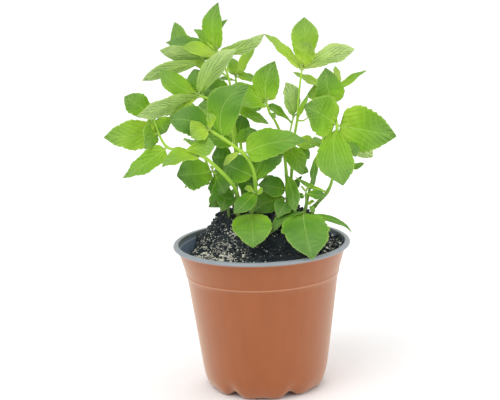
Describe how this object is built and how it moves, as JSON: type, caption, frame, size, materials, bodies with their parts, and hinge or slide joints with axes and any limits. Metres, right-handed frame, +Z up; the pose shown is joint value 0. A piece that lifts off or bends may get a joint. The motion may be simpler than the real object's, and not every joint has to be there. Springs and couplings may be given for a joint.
{
  "type": "potted mint plant",
  "caption": "Mint plant with toothed leaves on square stems, standing in soil in a round tapered nursery pot with a scalloped foot.",
  "frame": {"origin": "middle of the pot's flat underside, where it rests", "axes": "+Z up, -Y towards the side that the picture shows, +X to its right"},
  "size_m": [0.2072, 0.1312, 0.2831],
  "materials": {
    "pot": "thin terracotta-coloured polypropylene, soft sheen",
    "soil": "dark peat with pale specks, matt and crumbly",
    "young_leaf": "bright yellow-green leaf, finely haired, soft sheen",
    "leaf": "mid-green leaf, quilted between its veins, soft sheen",
    "old_leaf": "deep green leaf, quilted between its veins, dull"
  },
  "bodies": {
    "root": {"pot": "pot", "soil": "soil", "shoot_arch": "young_leaf", "shoot_low_left": "leaf", "shoot_tall_left": "young_leaf", "shoot_mid_left": "leaf", "shoot_centre": "leaf", "shoot_upright": "young_leaf", "shoot_right": "leaf", "shoot_back_centre": "old_leaf", "shoot_back_left": "old_leaf", "shoot_back_right": "old_leaf", "shoot_short_left": "old_leaf", "shoot_front_right": "old_leaf"}
  },
  "joints": []
}
